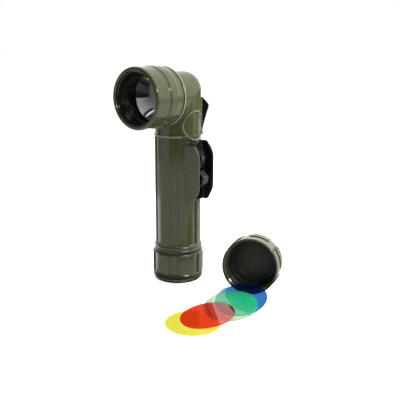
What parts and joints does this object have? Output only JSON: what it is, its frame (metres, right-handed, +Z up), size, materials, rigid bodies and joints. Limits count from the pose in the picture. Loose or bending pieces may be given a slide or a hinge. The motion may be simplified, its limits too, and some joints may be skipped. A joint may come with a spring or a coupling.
{
  "type": "angle head flashlight",
  "caption": "Right-angle torch with a hooded head, guarded slide switch, signal button and belt clip, its filter cap off and round colour filters fanned beside it.",
  "frame": {"origin": "middle of the flat base of the battery cap, on the battery tube's axis", "axes": "+Z up along the battery tube, -Y the way the lens looks, +X the side with the switch"},
  "size_m": [0.1386, 0.1288, 0.1992],
  "materials": {
    "olive_plastic": "smooth moulded olive drab plastic, semi-gloss",
    "black_plastic": "black moulded plastic, satin",
    "knob_plastic": "dark grey-black moulded plastic, satin",
    "button_plastic": "black moulded plastic, satin",
    "black_rubber": "black moulded rubber",
    "clear_plastic": "clear flat lens, polished",
    "bulb_glass": "clear blown glass",
    "reflector_mirror": "bright vacuum-metallised bowl",
    "contact_brass": "plain brass strip and turned brass",
    "spring_steel": "bright spring wire",
    "plated_steel": "nickel-plated steel",
    "clip_steel": "spring steel painted olive drab",
    "cell_can": "plain cell jacket",
    "yellow_filter": "transparent yellow sheet, polished",
    "green_filter": "transparent green sheet, polished",
    "blue_filter": "transparent blue sheet, polished",
    "red_filter": "transparent red sheet, polished"
  },
  "bodies": {
    "housing": {"battery_tube": "olive_plastic", "head_casing": "olive_plastic", "side_boss": "olive_plastic", "head_gasket": "black_rubber", "bulb_glass": "bulb_glass", "bulb_base": "contact_brass", "bulb_socket": "contact_brass", "bulb_bulkhead": "black_plastic", "contact_insulator": "black_plastic", "top_contact": "contact_brass", "lamp_contact_strip": "contact_brass", "switch_contact_strip": "contact_brass", "switch_frame": "black_plastic", "frame_screws": "plated_steel", "button_guide": "black_plastic", "button_spring": "spring_steel", "frame_ring": "plated_steel", "belt_clip": "clip_steel", "clip_rivets": "clip_steel", "battery_lower": "cell_can", "battery_upper": "cell_can"},
    "lens_set": {"clear_lens": "clear_plastic", "lens_gasket": "black_rubber", "reflector": "reflector_mirror"},
    "lens_collar": {"lens_ring": "olive_plastic"},
    "seal_set": {"filter_seal": "black_rubber"},
    "filter_collar": {"filter_ring": "olive_plastic"},
    "cap_set": {"cap_gasket": "black_rubber", "spring_plate": "contact_brass", "battery_spring": "spring_steel"},
    "cap_drum": {"battery_cap": "olive_plastic"},
    "thumb_switch": {"switch_slider": "knob_plastic", "slider_contact": "contact_brass"},
    "push_button": {"signal_button": "button_plastic"},
    "spare_cap": {"filter_cap": "olive_plastic"},
    "yellow_disc": {"filter_yellow": "yellow_filter"},
    "green_disc": {"filter_green": "green_filter"},
    "blue_disc": {"filter_blue": "blue_filter"},
    "red_disc": {"filter_red": "red_filter"}
  },
  "joints": [
    {"name": "lens_ring_travel", "type": "slide", "parent": "housing", "child": "lens_set", "axis": [0, -1, 0], "range_m": [0, 0.00801]},
    {"name": "lens_ring_turn", "type": "hinge", "parent": "lens_set", "child": "lens_collar", "pos_m": [0, 0, 0.1727], "axis": [0, -1, 0], "range_deg": [0, 1440]},
    {"name": "filter_ring_travel", "type": "slide", "parent": "lens_collar", "child": "seal_set", "axis": [0, -1, 0], "range_m": [0, 0.00601]},
    {"name": "filter_ring_turn", "type": "hinge", "parent": "seal_set", "child": "filter_collar", "pos_m": [0, 0, 0.1727], "axis": [0, -1, 0], "range_deg": [0, 1080]},
    {"name": "battery_cap_travel", "type": "slide", "parent": "housing", "child": "cap_set", "axis": [0, 0, -1], "range_m": [0, 0.01401]},
    {"name": "battery_cap_turn", "type": "hinge", "parent": "cap_set", "child": "cap_drum", "pos_m": [0, 0, 0], "axis": [0, 0, -1], "range_deg": [0, 2520]},
    {"name": "switch_slide", "type": "slide", "parent": "housing", "child": "thumb_switch", "axis": [0, 0, 1], "range_m": [-0.008, 0]},
    {"name": "signal_press", "type": "slide", "parent": "housing", "child": "push_button", "axis": [-1, 0, 0], "range_m": [0, 0.002], "stiffness_N_per_m": 300, "springref_m": -0.002, "deforming": ["button_spring"]},
    {"name": "filter_cap_away", "type": "slide", "parent": "housing", "child": "spare_cap", "axis": [-0.3795, 0.9252, 0], "range_m": [0, 0.08]},
    {"name": "yellow_away", "type": "slide", "parent": "housing", "child": "yellow_disc", "axis": [0, -1, 0], "range_m": [0, 0.08]},
    {"name": "green_away", "type": "slide", "parent": "housing", "child": "green_disc", "axis": [1, 0, 0], "range_m": [0, 0.08]},
    {"name": "blue_away", "type": "slide", "parent": "housing", "child": "blue_disc", "axis": [1, 0, 0], "range_m": [0, 0.08]},
    {"name": "red_lift", "type": "slide", "parent": "housing", "child": "red_disc", "axis": [0, 0, 1], "range_m": [0, 0.08]}
  ],
  "couplings": [
    {"joint": "lens_ring_travel", "follows": "lens_ring_turn", "m_per_rad": 0.00031831},
    {"joint": "filter_ring_travel", "follows": "filter_ring_turn", "m_per_rad": 0.00031831},
    {"joint": "battery_cap_travel", "follows": "battery_cap_turn", "m_per_rad": 0.00031831}
  ]
}
